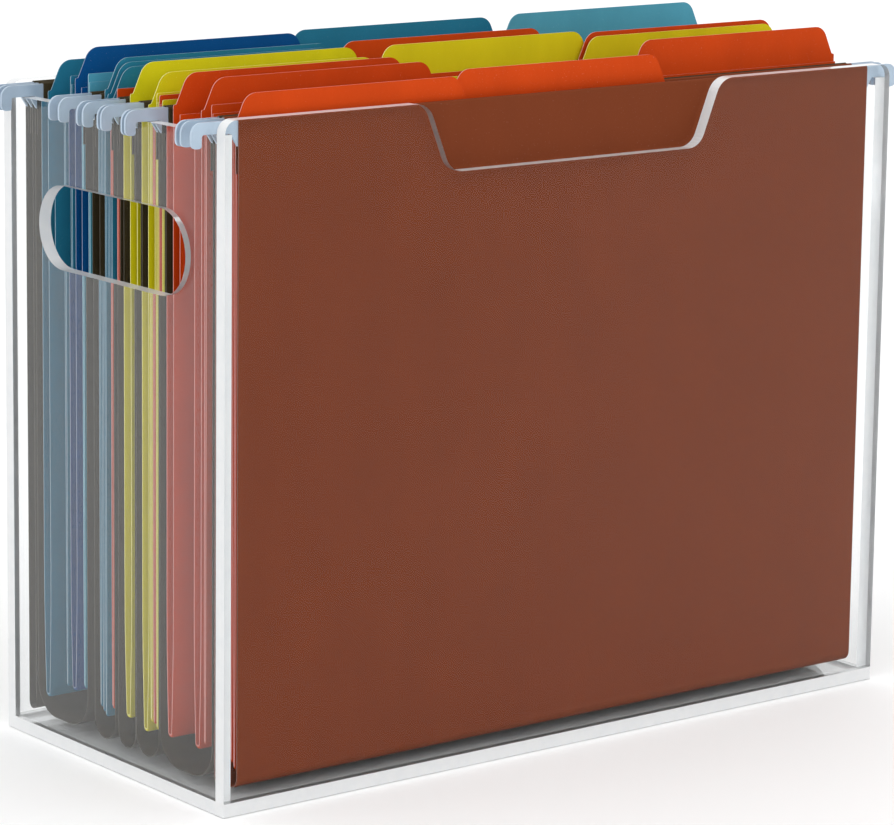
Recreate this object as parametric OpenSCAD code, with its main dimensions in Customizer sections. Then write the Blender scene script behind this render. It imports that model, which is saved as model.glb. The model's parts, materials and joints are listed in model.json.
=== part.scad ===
// Desktop file sorter: a clear bonded box, hanging folders on its side walls,
// and tabbed file folders standing in the hanging folders.
// +X runs to the right along the box, +Y to its back and +Z up.
// The origin is on the desk, under the middle of the box.

/* [Box] */
// Width of the box, outside
box_w = 316; // [312:1:320]
// Depth of the box, outside
box_d = 143; // [143:1:150]
// Height of the front and back panels above the desk
box_h = 248; // [248:1:252]
// Thickness of every clear panel
panel_t = 5; // [4:0.5:5]
// How far the side panels stop below the front and back panels
side_drop = 5.5; // [5:0.5:6]
// Radius of the top corners of the front and back panels
panel_corner_r = 5; // [3:1:6]

/* [Front dip] */
// Width of the dip between its sharp top corners
dip_top_w = 139.6; // [120:0.2:160]
// Width of the dip between its sharp bottom corners
dip_bottom_w = 119; // [100:1:119]
// Depth of the dip
dip_depth = 25.5; // [22:0.5:30]
// Radius of the dip's four corners
dip_r = 8; // [5:1:10]

/* [Side handles] */
// Length of each handle hole, end to end
handle_l = 95; // [85:1:100]
// Height of each handle hole
handle_h = 31.2; // [28:0.2:34]
// Height of the middle of the handle holes above the desk
handle_z = 197.3; // [190:0.1:205]

/* [Hanging folders] */
// Width of the hanging paper
sleeve_w = 299; // [296:1:299]
// Thickness of the hanging paper
sleeve_t = 0.4; // [0.3:0.1:0.4]
// Height of the folders' lowest edge above the desk
sleeve_bottom_z = 8; // [7:0.5:9]
// Height of the doubled hem that carries each rail
hem_h = 19; // [12:1:24]
// Largest radius of the bottom folds
fold_r = 12; // [4:1:12]

/* [Rails] */
// Height of the flat rails
rail_h = 9; // [8.5:0.1:9]
// Thickness of the flat rails
rail_t = 1; // [0.8:0.1:1]
// How far a hook reaches past the outside of the box
hook_reach = 9.5; // [8:0.5:11]
// Width of the hook's downward tip
hook_tip_w = 4.3; // [3.5:0.1:4.5]

/* [File folders] */
// Width of the file folders
folder_w = 297; // [290:1:297]
// Height of a file folder, from its fold to the top of its tab
folder_h = 241; // [236:1:242]
// Thickness of each of the two leaves
leaf_t = 0.5; // [0.3:0.1:0.5]
// Height of the tabs above the rear leaf
tab_h = 11; // [10:0.5:13]
// Width of the tabs at their foot
tab_w = 103; // [90:1:104]
// Inset of the outer tabs from the folder's edges
tab_inset = 1.2; // [1.2:0.1:4]
// Sideways run of a tab's sloped ends
tab_ramp = 5; // [3:1:7]
// Radius of the tabs' top corners
tab_r = 6; // [3:1:7]
// How far the front leaf stops below the rear leaf
front_leaf_drop = 3; // [2:1:12]

/* [Hidden] */
// Depths are measured back from the box's front face.
// One row for each hanging folder: depth of its front rail and of its back rail.
HANGERS = [
    [7, 13.2],
    [16.2, 47.7],
    [49.9, 63],
    [65.2, 74.8],
    [78.6, 90.6],
    [97, 129.6],
    [132.8, 136]
];

LEFT = -1;
MIDDLE = 0;
RIGHT = 1;
ORANGE = [0.80, 0.31, 0.10];
YELLOW = [0.84, 0.77, 0.16];
TEAL = [0.22, 0.52, 0.60];
PALE_TEAL = [0.37, 0.66, 0.72];
BLUE = [0.00, 0.29, 0.51];
// One row for each file folder: its middle's depth, where its tab is, its colour, the height
// of its tab's top and how thick it stands.
FOLDERS = [
    [9.2, LEFT, ORANGE, 255.5, 1.2],
    [11.1, MIDDLE, ORANGE, 257.5, 1.2],
    [21.4, RIGHT, ORANGE, 261.5, 1.2],
    [26, LEFT, ORANGE, 259, 4.6],
    [43.4, LEFT, ORANGE, 259, 4.6],
    [51.8, RIGHT, YELLOW, 260, 1.2],
    [53.6, RIGHT, ORANGE, 261.5, 1.2],
    [55.4, MIDDLE, YELLOW, 262, 1.2],
    [59.1, LEFT, YELLOW, 257.5, 4.6],
    [70.6, LEFT, YELLOW, 260, 4.8],
    [80.8, MIDDLE, ORANGE, 261, 1.2],
    [85.2, LEFT, TEAL, 257, 1.2],
    [87, LEFT, TEAL, 258.5, 1.2],
    [88.8, LEFT, TEAL, 260, 1.2],
    [99.8, RIGHT, PALE_TEAL, 264.5, 1.2],
    [106.9, LEFT, BLUE, 262, 4.6],
    [111.7, MIDDLE, TEAL, 262.5, 1.2],
    [125.2, LEFT, TEAL, 255.5, 4.8]
];

PANELS = ["base_panel", "front_panel", "back_panel", "left_panel", "right_panel"];

front_y = -box_d / 2;
ledge_z = box_h - side_drop;
ledge_gap = 0.2;
rail_top_z = box_h - 1;
notch_z = ledge_z + ledge_gap;
rail_half = box_w / 2 + hook_reach;
hook_gap = 0.4;
barb_x = box_w / 2 - panel_t - hook_gap;
rail_play = 0.05;
hem_half = rail_t / 2 + rail_play + sleeve_t;
foot_r = 0.8;
body_r = 0.3;
CLEAR = [0.85, 0.92, 0.95, 0.35];
KRAFT = [0.49, 0.27, 0.18];
RAIL_GREY = [0.65, 0.72, 0.79];
$fn = 64;

function unit(v) = v / norm(v);

// Points of an arc of radius r that rounds corner b of the path a, b, c.
function corner_arc(a, b, c, r, steps = 6) =
    let (
        u = unit(a - b),
        v = unit(c - b),
        half = acos(u * v) / 2,
        reach = r / tan(half),
        centre = b + unit(u + v) * r / sin(half),
        start = b + u * reach - centre,
        end = b + v * reach - centre,
        first = atan2(start.y, start.x),
        sweep = (atan2(end.y, end.x) - first + 540) % 360 - 180
    )
    [for (i = [0:steps]) centre + r * [cos(first + sweep * i / steps), sin(first + sweep * i / steps)]];

// Outline through corners given as [x, y, radius].
function rounded(p) =
    let (n = len(p), at = function (i) [p[(i + n) % n].x, p[(i + n) % n].y])
    [for (i = [0:n - 1]) each (p[i][2] > 0 ? corner_arc(at(i - 1), at(i), at(i + 1), p[i][2]) : [at(i)])];

// Stands an outline drawn in X and Z upright, t thick, with its front at depth y.
module upright(y, t) {
    translate([0, front_y + y + t, 0])
        rotate([90, 0, 0])
            linear_extrude(t)
                children();
}

module base_panel() {
    color(CLEAR)
        translate([-box_w / 2, front_y, 0])
            cube([box_w, box_d, panel_t]);
}

module front_panel() {
    half = box_w / 2;
    top = dip_top_w / 2;
    bottom = dip_bottom_w / 2;
    color(CLEAR)
        upright(0, panel_t)
            polygon(rounded([
                [-half, panel_t, 0],
                [half, panel_t, 0],
                [half, box_h, panel_corner_r],
                [top, box_h, dip_r],
                [bottom, box_h - dip_depth, dip_r],
                [-bottom, box_h - dip_depth, dip_r],
                [-top, box_h, dip_r],
                [-half, box_h, panel_corner_r]
            ]));
}

module back_panel() {
    half = box_w / 2;
    color(CLEAR)
        upright(box_d - panel_t, panel_t)
            polygon(rounded([
                [-half, panel_t, 0],
                [half, panel_t, 0],
                [half, box_h, panel_corner_r],
                [-half, box_h, panel_corner_r]
            ]));
}

// Side panel between the front and back panels, side is LEFT or RIGHT.
module side_panel(side) {
    inner_d = box_d - 2 * panel_t;
    end_y = (handle_l - handle_h) / 2;
    x = side == LEFT ? -box_w / 2 : box_w / 2 - panel_t;
    color(CLEAR)
        difference() {
            translate([x, -inner_d / 2, panel_t])
                cube([panel_t, inner_d, ledge_z - panel_t]);
            for (y = [-end_y, end_y])
                translate([x - 1, y, handle_z])
                    rotate([0, 90, 0])
                        cylinder(h = panel_t + 2, d = handle_h);
            translate([x - 1, -end_y, handle_z - handle_h / 2])
                cube([panel_t + 2, 2 * end_y, handle_h]);
        }
}

// Flat steel rail whose notched hooks ride on the side panels' top edges.
module rail(y) {
    low_z = rail_top_z - rail_h;
    paper_x = sleeve_w / 2;
    color(RAIL_GREY)
        upright(y - rail_t / 2, rail_t)
            polygon(rounded([
                [-barb_x, notch_z, 0.4],
                [-paper_x, low_z, 0.4],
                [paper_x, low_z, 0.4],
                [barb_x, notch_z, 0.4],
                [rail_half - hook_tip_w, notch_z, 1],
                [rail_half - hook_tip_w, low_z, 1],
                [rail_half, low_z, 2],
                [rail_half, rail_top_z, 4],
                [-rail_half, rail_top_z, 4],
                [-rail_half, low_z, 2],
                [-rail_half + hook_tip_w, low_z, 1],
                [-rail_half + hook_tip_w, notch_z, 1]
            ]));
}

// Paper of hanging folder i: two faces, a rounded bottom fold and a hem around each rail.
module hanging_sleeve(i) {
    front = HANGERS[i - 1][0] - hem_half;
    back = HANGERS[i - 1][1] + hem_half;
    low_z = sleeve_bottom_z;
    top_z = rail_top_z + rail_play + sleeve_t;
    hem_z = top_z - hem_h;
    r = min(fold_r, (back - front) / 2 - 0.05);
    color(KRAFT)
        translate([-sleeve_w / 2, front_y, 0])
            rotate([90, 0, 90])
                linear_extrude(sleeve_w)
                    difference() {
                        union() {
                            difference() {
                                polygon(rounded([
                                    [front, low_z, r],
                                    [back, low_z, r],
                                    [back, hem_z + 1, 0],
                                    [front, hem_z + 1, 0]
                                ]));
                                polygon(rounded([
                                    [front + sleeve_t, low_z + sleeve_t, r - sleeve_t],
                                    [back - sleeve_t, low_z + sleeve_t, r - sleeve_t],
                                    [back - sleeve_t, hem_z + 2, 0],
                                    [front + sleeve_t, hem_z + 2, 0]
                                ]));
                            }
                            for (y = HANGERS[i - 1])
                                translate([y - hem_half, hem_z])
                                    square([2 * hem_half, hem_h]);
                        }
                        for (y = HANGERS[i - 1])
                            translate([y - rail_t / 2 - rail_play, rail_top_z - rail_h - rail_play])
                                square([rail_t + 2 * rail_play, rail_h + 2 * rail_play]);
                    }
}

// Tabbed folder k: a plain front leaf, a tabbed rear leaf and the fold that joins them.
module file_folder(k) {
    row = FOLDERS[k - 1];
    y = row[0];
    top_z = row[3];
    low_z = top_z - folder_h;
    shoulder_z = top_z - tab_h;
    half = folder_w / 2;
    folder_t = row[4];
    tab_left = row[1] * (half - tab_inset - tab_w / 2) - tab_w / 2;
    tab_right = tab_left + tab_w;
    color(row[2]) {
        upright(y + folder_t / 2 - leaf_t, leaf_t)
            polygon(rounded([
                [-half, low_z, 1],
                [half, low_z, 1],
                [half, shoulder_z, body_r],
                [tab_right, shoulder_z, foot_r],
                [tab_right - tab_ramp, top_z, tab_r],
                [tab_left + tab_ramp, top_z, tab_r],
                [tab_left, shoulder_z, foot_r],
                [-half, shoulder_z, body_r]
            ]));
        upright(y - folder_t / 2, leaf_t)
            polygon(rounded([
                [-half, low_z, 1],
                [half, low_z, 1],
                [half, shoulder_z - front_leaf_drop, 1],
                [-half, shoulder_z - front_leaf_drop, 1]
            ]));
        translate([1 - half, front_y + y - folder_t / 2, low_z])
            cube([folder_w - 2, folder_t, leaf_t]);
    }
}

base_panel();
front_panel();
back_panel();
side_panel(LEFT);  // left_panel
side_panel(RIGHT);  // right_panel
for (i = [1:len(HANGERS)]) {
    hanging_sleeve(i);
    rail(HANGERS[i - 1][0]);
    rail(HANGERS[i - 1][1]);
}
for (k = [1:len(FOLDERS)])
    file_folder(k);
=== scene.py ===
"""Desktop file sorter: clear box, hanging folders on its side panels, tabbed file folders inside."""
import json
import math

import bpy
from mathutils import Matrix, Vector


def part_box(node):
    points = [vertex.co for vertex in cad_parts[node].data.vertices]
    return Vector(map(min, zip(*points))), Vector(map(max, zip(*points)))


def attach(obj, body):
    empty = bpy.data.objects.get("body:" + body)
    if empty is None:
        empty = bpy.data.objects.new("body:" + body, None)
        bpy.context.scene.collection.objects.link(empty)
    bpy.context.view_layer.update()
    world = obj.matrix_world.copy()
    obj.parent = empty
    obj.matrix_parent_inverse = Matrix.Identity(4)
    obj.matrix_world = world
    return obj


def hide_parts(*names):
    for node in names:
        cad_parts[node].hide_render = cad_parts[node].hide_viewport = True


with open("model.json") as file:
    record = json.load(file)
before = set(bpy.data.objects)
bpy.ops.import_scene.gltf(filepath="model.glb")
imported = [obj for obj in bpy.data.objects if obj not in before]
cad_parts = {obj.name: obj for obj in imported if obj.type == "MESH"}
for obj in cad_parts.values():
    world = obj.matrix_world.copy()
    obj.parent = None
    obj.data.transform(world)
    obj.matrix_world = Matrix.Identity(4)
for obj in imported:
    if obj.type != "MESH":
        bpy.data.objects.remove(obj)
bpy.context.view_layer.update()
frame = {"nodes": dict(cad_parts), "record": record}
record = frame["record"]
nodes = frame["nodes"]
MM = 0.001


# ---------------------------------------------------------------- materials
class Nodes:
    """Short names for building one material's node tree."""

    def __init__(self, name):
        self.mat = bpy.data.materials.new(name)
        self.mat.use_nodes = True
        self.tree = self.mat.node_tree
        self.bsdf = self.tree.nodes["Principled BSDF"]
        self.coord = self.add("ShaderNodeTexCoord").outputs["Object"]

    def add(self, kind, **settings):
        node = self.tree.nodes.new(kind)
        for key, value in settings.items():
            setattr(node, key, value)
        return node

    def link(self, a, b):
        self.tree.links.new(a, b)

    def scaled(self, scale):
        """Object coordinates stretched by scale, in cycles per metre."""
        node = self.add("ShaderNodeMapping")
        node.inputs["Scale"].default_value = scale
        self.link(self.coord, node.inputs["Vector"])
        return node.outputs["Vector"]

    def noise(self, scale, detail=3.0, roughness=0.5):
        node = self.add("ShaderNodeTexNoise")
        node.inputs["Scale"].default_value = 1.0
        node.inputs["Detail"].default_value = detail
        node.inputs["Roughness"].default_value = roughness
        self.link(self.scaled(scale), node.inputs["Vector"])
        return node.outputs["Fac"]

    def ramp(self, value, stops):
        node = self.add("ShaderNodeValToRGB")
        items = node.color_ramp.elements
        while len(items) < len(stops):
            items.new(0.5)
        for item, (at, colour) in zip(items, stops):
            item.position = at
            item.color = (*colour, 1) if len(colour) == 3 else colour
        self.link(value, node.inputs["Fac"])
        return node.outputs["Color"]

    def math(self, op, a, b):
        node = self.add("ShaderNodeMath", operation=op)
        for socket, v in zip(node.inputs, (a, b)):
            if isinstance(v, (int, float)):
                socket.default_value = v
            else:
                self.link(v, socket)
        return node.outputs["Value"]

    def blend(self, fac, a, b):
        node = self.add("ShaderNodeMix", data_type="RGBA")
        for name, v in (("Factor_Float", fac), ("A_Color", a), ("B_Color", b)):
            socket = next(s for s in node.inputs if s.identifier == name)
            if isinstance(v, (int, float)):
                socket.default_value = v
            elif isinstance(v, tuple):
                socket.default_value = (*v, 1)
            else:
                self.link(v, socket)
        return next(s for s in node.outputs if s.identifier == "Result_Color")

    def spread(self, value, low, high):
        """value, which runs from 0 to 1, mapped to low..high."""
        node = self.add("ShaderNodeMapRange")
        node.inputs["To Min"].default_value = low
        node.inputs["To Max"].default_value = high
        self.link(value, node.inputs["Value"])
        return node.outputs["Result"]

    def bump(self, height, strength, distance):
        node = self.add("ShaderNodeBump")
        node.inputs["Strength"].default_value = strength
        node.inputs["Distance"].default_value = distance
        self.link(height, node.inputs["Height"])
        self.link(node.outputs["Normal"], self.bsdf.inputs["Normal"])

    def set(self, **values):
        for name, v in values.items():
            socket = self.bsdf.inputs[name.replace("_", " ")]
            if isinstance(v, (int, float, tuple)):
                socket.default_value = v
            else:
                self.link(v, socket)


def srgb(r, g, b):
    """Linear colour of an sRGB colour given from 0 to 255."""
    return tuple(v / 255 / 12.92 if v <= 10.3 else ((v / 255 + 0.055) / 1.055) ** 2.4 for v in (r, g, b))


def shade(colour, k):
    return tuple(min(1.0, v * k) for v in colour)


def card(name, colour, grain=1.0):
    """Uncoated dyed card: cloudy fibres, small flecks, soft tooth."""
    n = Nodes(name)
    cloud = n.noise((60, 60, 25), 4.0)
    fibre = n.noise((2600, 2600, 700), 4.0, 0.65)
    fleck = n.noise((1900, 1900, 1900), 2.0, 0.7)
    base = n.ramp(cloud, [(0.30, shade(colour, 1 - 0.07 * grain)), (0.70, shade(colour, 1 + 0.07 * grain))])
    light = tuple(v + (1 - v) * 0.16 for v in colour)
    mask = n.ramp(fleck, [(0.68, (0, 0, 0)), (0.76, (grain, grain, grain))])
    base = n.blend(mask, base, light)
    base = n.blend(n.spread(fibre, 0.0, 0.22 * grain), base, shade(colour, 0.78))
    n.set(Base_Color=base, Roughness=n.spread(fibre, 0.66, 0.86), Specular_IOR_Level=0.12)
    n.bump(fibre, 0.16 * grain, 0.0001)
    return n.mat


def cut_edge(name, colour, paler=0.26):
    """The sheared edge of the same card, where its paler core shows."""
    n = Nodes(name)
    fibre = n.noise((3000, 3000, 1400), 3.0, 0.7)
    core = tuple(v + (1 - v) * paler for v in colour)
    base = n.ramp(fibre, [(0.35, shade(core, 0.86)), (0.65, core)])
    n.set(Base_Color=base, Roughness=n.spread(fibre, 0.7, 0.9), Specular_IOR_Level=0.2)
    n.bump(fibre, 0.4, 0.0001)
    return n.mat


def acrylic(name, thin_axis, painted_reflection_level):
    """Clear cast acrylic, very slightly uneven. Its sawn and polished edges, which face across the panel's
    thin axis, are made near-white and much less clear: partly the frosting of the saw, partly a painted
    highlight that stands in for the bright lines of light along the panel edges."""
    n = Nodes(name)
    haze = n.noise((35, 35, 35), 4.0)
    saw = n.noise((220, 220, 220), 3.0, 0.6)
    axes = n.add("ShaderNodeSeparateXYZ")
    n.link(n.add("ShaderNodeTexCoord").outputs["Normal"], axes.inputs["Vector"])
    face = n.math("ABSOLUTE", axes.outputs[thin_axis], 0)
    face = n.math("GREATER_THAN", face, 0.5)
    clear = n.ramp(haze, [(0.3, (0.98, 0.99, 0.995)), (0.7, (0.99, 0.998, 1.0))])
    # painted highlight, partly real saw frosting: the edge faces get a near-white colour and lose most of their
    # clearness
    edge = n.ramp(saw, [(0.3, (0.94, 0.96, 0.975)), (0.6, (0.985, 0.995, 1.0))])
    n.set(Base_Color=n.blend(face, edge, clear),
          Roughness=n.spread(face, 0.08, 0.0),
          IOR=1.49, Transmission_Weight=n.spread(face, 0.28, 1.0), Specular_Tint=(painted_reflection_level, painted_reflection_level, painted_reflection_level, 1.0))
    n.bump(haze, 0.04, 0.0004)
    return n.mat


def coated_steel(name):
    """Steel strip with a pale blue-grey coating: faint orange peel and rubbed spots."""
    n = Nodes(name)
    peel = n.noise((1400, 1400, 1400), 2.0)
    cloud = n.noise((120, 120, 120), 3.0)
    colour = srgb(168, 186, 203)
    base = n.ramp(cloud, [(0.3, shade(colour, 0.93)), (0.7, shade(colour, 1.06))])
    n.set(Base_Color=base, Roughness=n.spread(cloud, 0.3, 0.42), Metallic=0.15, Coat_Weight=0.15)
    n.bump(peel, 0.2, 0.00015)
    return n.mat


COLOURS = {
    "orange_cardstock": srgb(198, 66, 8),
    "yellow_cardstock": srgb(212, 203, 20),
    "teal_cardstock": srgb(36, 118, 146),
    "pale_teal_cardstock": srgb(80, 158, 182),
    "blue_cardstock": srgb(0, 76, 134),
}
CARD = {slot: (card(slot, c), cut_edge(slot + "_edge", c)) for slot, c in COLOURS.items()}
KRAFT = srgb(112, 52, 24)
KRAFT_CARD = (card("brown_hanging_paper", KRAFT, 0.5), cut_edge("brown_hanging_paper_edge", KRAFT, 0.12))
# painted shade: the inner hanging folders are the same brown paper as the first one; their dark olive-brown
# stands in for the shade deep inside the box
PAINTED_SHADE_KRAFT = srgb(56, 48, 30)
PAINTED_SHADE_CARD = (card("shaded_hanging_paper", PAINTED_SHADE_KRAFT, 0.6), cut_edge("shaded_hanging_paper_edge", PAINTED_SHADE_KRAFT, 0.04))
# painted reflection: the acrylic's reflection tint is set panel by panel; the front panel's is nearly black, so
# it shows almost no reflection while the other panels keep most of theirs
ACRYLIC = {
    "base_panel": acrylic("clear_acrylic_base", "Z", 0.6),
    "front_panel": acrylic("clear_acrylic_front", "Y", 0.04),
    "back_panel": acrylic("clear_acrylic_back", "Y", 0.6),
    "left_panel": acrylic("clear_acrylic_left", "X", 0.55),
    "right_panel": acrylic("clear_acrylic_right", "X", 0.55),
}
STEEL = coated_steel("grey_rail_steel")


# ---------------------------------------------------------------- geometry helpers
def corner_arc(a, b, c, r, steps=6):
    """Points of an arc of radius r that rounds corner b of the path a, b, c."""
    u, v = (a - b).normalized(), (c - b).normalized()
    half = math.acos(max(-1.0, min(1.0, u.dot(v)))) / 2
    reach = r / math.tan(half)
    centre = b + (u + v).normalized() * (r / math.sin(half))
    start, end = b + u * reach - centre, b + v * reach - centre
    first = math.atan2(start.y, start.x)
    sweep = (math.atan2(end.y, end.x) - first + math.pi) % (2 * math.pi) - math.pi
    return [centre + Vector((math.cos(first + sweep * i / steps), math.sin(first + sweep * i / steps))) * r
            for i in range(steps + 1)]


def rounded_path(corners):
    """Open path through corners (a, b, radius). Its two ends stay sharp."""
    at = [Vector(c[:2]) for c in corners]
    out = [at[0]]
    for i in range(1, len(corners) - 1):
        r = corners[i][2]
        out += corner_arc(at[i - 1], at[i], at[i + 1], r) if r else [at[i]]
    return out + [at[-1]]


def resample(path, step):
    """The same path with every stretch longer than step divided evenly."""
    out = [path[0]]
    for a, b in zip(path, path[1:]):
        n = max(1, math.ceil((b - a).length / step))
        out += [a.lerp(b, i / n) for i in range(1, n + 1)]
    return out


def mesh_object(name, verts, faces, materials, edge_faces=()):
    mesh = bpy.data.meshes.new(name)
    mesh.from_pydata(verts, [], faces)
    for m in materials:
        mesh.materials.append(m)
    for i in edge_faces:
        mesh.polygons[i].material_index = 1
    mesh.update()
    obj = bpy.data.objects.new(name, mesh)
    bpy.context.scene.collection.objects.link(obj)
    return obj


def smooth(obj, degrees=35):
    for p in obj.data.polygons:
        p.use_smooth = True
    obj.data.set_sharp_from_angle(angle=math.radians(degrees))


def folded_sheet(name, columns, thickness, materials):
    """A closed sheet of card. columns is a list of (x, [(y, z), ...]), all with the same number of points;
    each list is the middle of the card at that x, and the card is given its thickness across it. In metres."""
    rows = len(columns[0][1])
    verts, faces, edges = [], [], []
    for x, path in columns:
        pts = [Vector(p) for p in path]
        for side in (1, -1):
            for j, p in enumerate(pts):
                a, b = pts[max(j - 1, 0)], pts[min(j + 1, rows - 1)]
                t = (b - a).normalized()
                n = Vector((t.y, -t.x)) * (side * thickness / 2)
                verts.append((x, p.x + n.x, p.y + n.y))
    w = 2 * rows
    for i in range(len(columns) - 1):
        a, b = i * w, (i + 1) * w
        for j in range(rows - 1):
            faces.append((a + j, b + j, b + j + 1, a + j + 1))
            faces.append((a + rows + j, a + rows + j + 1, b + rows + j + 1, b + rows + j))
        for j, flip in ((0, True), (rows - 1, False)):
            quad = (a + j, b + j, b + rows + j, a + rows + j)
            edges.append(len(faces))
            faces.append(quad[::-1] if flip else quad)
    for i, flip in ((0, False), (len(columns) - 1, True)):
        a = i * w
        for j in range(rows - 1):
            quad = (a + j, a + j + 1, a + rows + j + 1, a + rows + j)
            edges.append(len(faces))
            faces.append(quad[::-1] if flip else quad)
    obj = mesh_object(name, verts, faces, materials, edges)
    smooth(obj)
    return obj


# ---------------------------------------------------------------- file folders
LEFT, MIDDLE, RIGHT = -1, 0, 1
TAB_SIDE = [LEFT, MIDDLE, RIGHT, LEFT, LEFT, RIGHT, RIGHT, MIDDLE, LEFT, LEFT, MIDDLE, LEFT, LEFT, LEFT,
            RIGHT, LEFT, MIDDLE, LEFT]
# sizes in mm
TAB_H, TAB_W, TAB_INSET, TAB_RAMP = 11.0, 103.0, 1.2, 5.0
TAB_TOP_R, TAB_FOOT_R = 6, 0.7
LEAF_DROP = 3.0     # the front leaf's top below the rear leaf's shoulder
SHEET_T = 0.36      # one thickness of card or paper
FOLD_RISE = 0.55    # depth of the rounded fold at the bottom
TIP = 0.45          # gap between the leaves at the fold, as a part of their gap higher up
LEAF_POINTS, FOLD_STEPS = 15, 6
SLOT_OF = {s["node"]: s["material_slot"] for s in record["subparts"]}


def tab_outline(half, side, top_z, shoulder_z):
    """Top edge of the rear leaf from left to right, in mm."""
    left = side * (half - TAB_INSET - TAB_W / 2) - TAB_W / 2
    right = left + TAB_W
    path = rounded_path([
        (-half, shoulder_z - 0.8, 0), (-half + 0.2, shoulder_z, 0.35), (left, shoulder_z, TAB_FOOT_R),
        (left + TAB_RAMP, top_z, TAB_TOP_R), (right - TAB_RAMP, top_z, TAB_TOP_R),
        (right, shoulder_z, TAB_FOOT_R),
        (half - 0.2, shoulder_z, 0.35), (half, shoulder_z - 0.8, 0)])
    return resample(path, 9.0)


def file_folder(k):
    """Two leaves and a rounded fold. The leaves close towards the fold and wave slightly."""
    node = f"file_folder_{k}"
    lo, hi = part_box(node)
    half = (hi.x - lo.x) / 2 / MM
    y0 = (lo.y + hi.y) / 2 / MM
    top_z, low_z = hi.z / MM, lo.z / MM
    shoulder_z = top_z - TAB_H
    gap = (hi.y - lo.y) / MM - SHEET_T
    seed = k * 1.7
    columns = []
    for x, z_rear in tab_outline(half, TAB_SIDE[k - 1], top_z, shoulder_z):
        z_front = min(shoulder_z - LEAF_DROP, z_rear)
        corner = max(0.0, abs(x) - (half - 1.0))
        z_low = low_z + SHEET_T / 2 + (1 - math.sqrt(max(0.0, 1 - corner * corner)))
        wave = 0.10 * math.sin(x / 41 + seed) + 0.05 * math.sin(x / 17 + 2.3 * seed)
        path = []
        for side, z_top in ((-1, z_front), (1, z_rear)):
            leg = []
            for j in range(LEAF_POINTS):
                f = (j / (LEAF_POINTS - 1)) ** 1.5
                z = z_low + FOLD_RISE + (z_top - z_low - FOLD_RISE) * f
                h = (z - low_z) / (top_z - low_z)
                bow = 0.12 * math.sin(3.1 * h + seed + side) * (1 - h) + wave * min(1.0, 2.5 * h) * 0.5
                spread = gap / 2 * (TIP + (1 - TIP) * math.sin(math.pi / 2 * min(1.0, 5 * h)))
                leg.append((y0 + side * spread + bow * 0.6, z))
            if side < 0:
                path += leg[::-1]
                a = leg[0]
                r = gap / 2 * TIP
                for i in range(1, FOLD_STEPS):
                    ang = math.pi * i / FOLD_STEPS
                    path.append((a[0] + r - r * math.cos(ang), a[1] - FOLD_RISE * math.sin(ang)))
            else:
                path += leg
        columns.append((x * MM, [(y * MM, z * MM) for y, z in path]))
    obj = folded_sheet(f"card_{node}", columns, SHEET_T * MM, CARD[SLOT_OF[node]])
    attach(obj, f"file_{k}")
    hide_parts(node)


# ---------------------------------------------------------------- hanging folders
# sizes in mm
HEM_H = 19.0        # depth of the hem that wraps a rail
HEM_R = 0.74        # radius of the hem's rounded top, at the middle of the paper
HEM_STEPS = 8
CAD_CLEARANCE = 0.02
BOTTOM_FOLD = 12.0  # largest radius of the bottom fold
SIDE_TOP = 60       # height at which the bottom's rounded path ends
SLEEVE_COLUMNS = 33


def hem_arc(middle_y, middle_z):
    """The hem's rounded top, from its back to its front."""
    return [Vector((middle_y + HEM_R * math.cos(math.pi * s / HEM_STEPS),
                    middle_z + HEM_R * math.sin(math.pi * s / HEM_STEPS))) for s in range(1, HEM_STEPS)]


def hanging_sleeve(i):
    """One sheet, hemmed over a rail at each end and folded round at the bottom, with slight waves."""
    node = f"hanging_sleeve_{i}"
    lo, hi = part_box(node)
    inset = SHEET_T / 2 + CAD_CLEARANCE
    front, back = lo.y / MM + inset, hi.y / MM - inset
    low_z, top_z = lo.z / MM + SHEET_T / 2, hi.z / MM - SHEET_T / 2
    reach = (back - front) / 2
    inner_f, inner_b = front + 2 * HEM_R, back - 2 * HEM_R
    half = (hi.x - lo.x) / 2 / MM
    fold = min(reach, BOTTOM_FOLD) - 0.05
    hem_z, hem_top = top_z - HEM_H, top_z - HEM_R
    legs = [Vector((inner_f, hem_z)), Vector((inner_f, hem_top))]
    legs += hem_arc(front + HEM_R, hem_top)
    legs.append(Vector((front, hem_top)))
    legs += rounded_path([(front, SIDE_TOP, 0), (front, low_z, fold), (back, low_z, fold), (back, SIDE_TOP, 0)])
    legs.append(Vector((back, hem_top)))
    legs += hem_arc(back - HEM_R, hem_top)
    legs += [Vector((inner_b, hem_top)), Vector((inner_b, hem_z))]
    path = resample(legs, 16.0)
    columns = []
    for c in range(SLEEVE_COLUMNS + 1):
        x = -half + 2 * half * c / SLEEVE_COLUMNS
        pts = []
        for p in path:
            h = (p.y - low_z) / (top_z - low_z)
            calm = math.sin(math.pi * min(1.0, max(0.0, (hem_z - p.y) / (hem_z - low_z))))
            wave = 0.10 * calm * math.sin(x / 47 + i * 2.1 + 2.5 * h)
            pts.append(((p.x + wave) * MM, p.y * MM))
        columns.append((x * MM, pts))
    # painted shade: every hanging folder but the first gets the darkened copy of the brown paper
    materials = KRAFT_CARD if i == 1 else PAINTED_SHADE_CARD
    obj = folded_sheet(f"paper_{node}", columns, SHEET_T * MM, materials)
    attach(obj, f"hanging_folder_{i}")
    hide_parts(node)


# ---------------------------------------------------------------- box and rails
def own_material(obj, material):
    obj.data.materials.clear()
    obj.data.materials.append(material)


JOINT_GAP = 0.02 * MM   # each panel's faces move in by this, so that no two panels share a face
for name, material in ACRYLIC.items():
    panel = nodes[name]
    own_material(panel, material)
    gap = panel.modifiers.new("joint_gap", "DISPLACE")
    gap.strength = -JOINT_GAP
    gap.mid_level = 0.0

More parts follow.
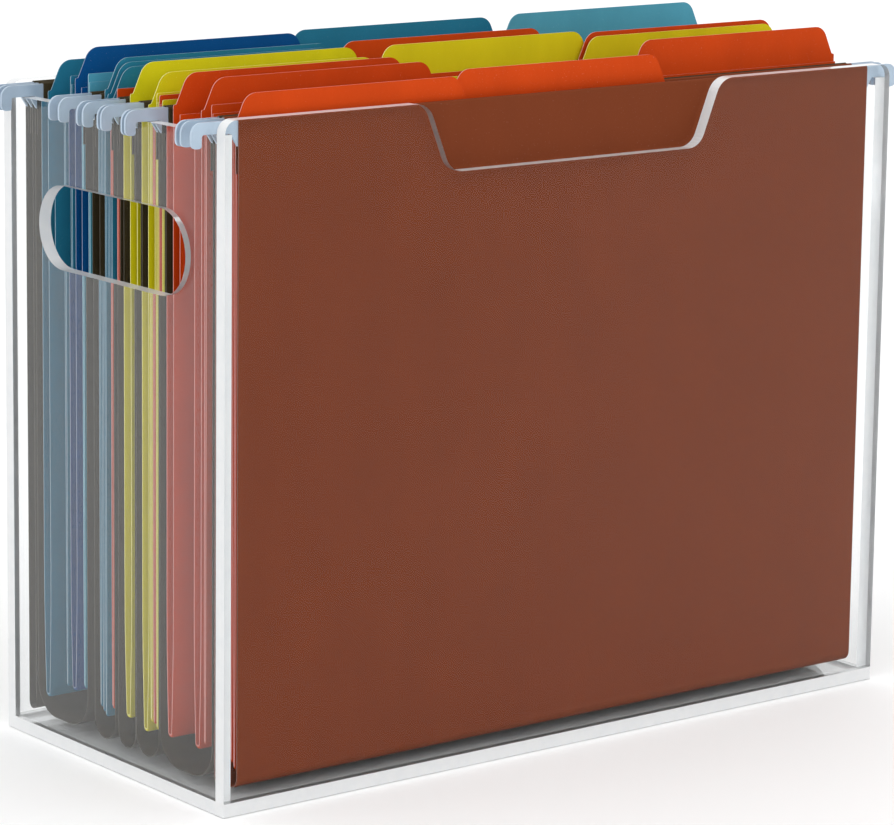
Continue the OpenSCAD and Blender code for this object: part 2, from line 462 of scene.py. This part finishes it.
HANGING = [i for i in range(1, 61) if f"hanging_sleeve_{i}" in nodes]
FILES = [k for k in range(1, 61) if f"file_folder_{k}" in nodes]
for i in HANGING:
    for where in ("front", "back"):
        own_material(nodes[f"{where}_rail_{i}"], STEEL)
    hanging_sleeve(i)
for k in FILES:
    file_folder(k)


# ---------------------------------------------------------------- camera
AZIMUTH, ELEVATION, ROLL = -37.598, 10.404, 0.612   # degrees
CAMERA_AT = (-0.91791, -1.15853, 0.42178)
cam = bpy.data.cameras.new("camera")
cam.sensor_width = 36.0
cam.lens = 157.37
cam.shift_x = 0.0503
cam.shift_y = -0.1001
cam_obj = bpy.data.objects.new("camera", cam)
bpy.context.scene.collection.objects.link(cam_obj)
bpy.context.scene.camera = cam_obj
turn = (Matrix.Rotation(math.radians(AZIMUTH), 4, "Z") @ Matrix.Rotation(math.radians(90 - ELEVATION), 4, "X")
        @ Matrix.Rotation(math.radians(ROLL), 4, "Z"))
cam_obj.matrix_world = Matrix.Translation(CAMERA_AT) @ turn


# ---------------------------------------------------------------- studio
def area_light(name, at, toward, size, power, colour=(1, 1, 1)):
    light = bpy.data.lights.new(name, "AREA")
    light.shape = "RECTANGLE"
    light.size, light.size_y = size
    light.energy = power
    light.color = colour
    obj = bpy.data.objects.new(name, light)
    bpy.context.scene.collection.objects.link(obj)
    obj.location = at
    obj.rotation_euler = (Vector(toward) - Vector(at)).to_track_quat("-Z", "Y").to_euler()
    return obj


def floor():
    n = Nodes("studio_floor")
    cloud = n.noise((3, 3, 3), 2.0)
    n.set(Base_Color=n.ramp(cloud, [(0.3, (0.90, 0.90, 0.90)), (0.7, (0.93, 0.93, 0.93))]), Roughness=0.9,
          Specular_IOR_Level=0.1)
    s, steps, r = 6.0, 12, 1.5
    profile = [(-s, 0.0), (1.5, 0.0)]
    profile += [(1.5 + r * math.sin(math.pi / 2 * i / steps), r - r * math.cos(math.pi / 2 * i / steps))
                for i in range(1, steps + 1)]
    profile.append((1.5 + r, 5.0))
    verts = [(x, y, z - 0.0002) for y, z in profile for x in (-s, s)]
    faces = [(2 * i, 2 * i + 1, 2 * i + 3, 2 * i + 2) for i in range(len(profile) - 1)]
    obj = mesh_object("studio_floor", verts, faces, [n.mat])
    smooth(obj)
    obj.rotation_euler = (0, 0, math.radians(-37.6))


floor()
area_light("key", (-0.6, -1.2, 1.9), (0, 0, 0.15), (1.6, 1.2), 2.6)
area_light("left_card", (-1.9, 0.1, 0.7), (0, 0, 0.15), (1.6, 1.4), 1.6)
area_light("top", (0.2, 0.5, 2.2), (0, 0, 0.2), (1.8, 1.8), 2.6)

world = bpy.data.worlds.new("studio")
world.use_nodes = True
background = world.node_tree.nodes["Background"]
background.inputs["Color"].default_value = (1.0, 1.0, 1.0, 1)
background.inputs["Strength"].default_value = 1.2
bpy.context.scene.world = world
bpy.context.scene.view_settings.view_transform = "Standard"
bpy.context.scene.view_settings.look = "None"
# light has to find its way through the clear panels to the paper behind them
bpy.context.scene.cycles.blur_glossy = 0.0
bpy.context.scene.cycles.max_bounces = 20
bpy.context.scene.cycles.transmission_bounces = 20
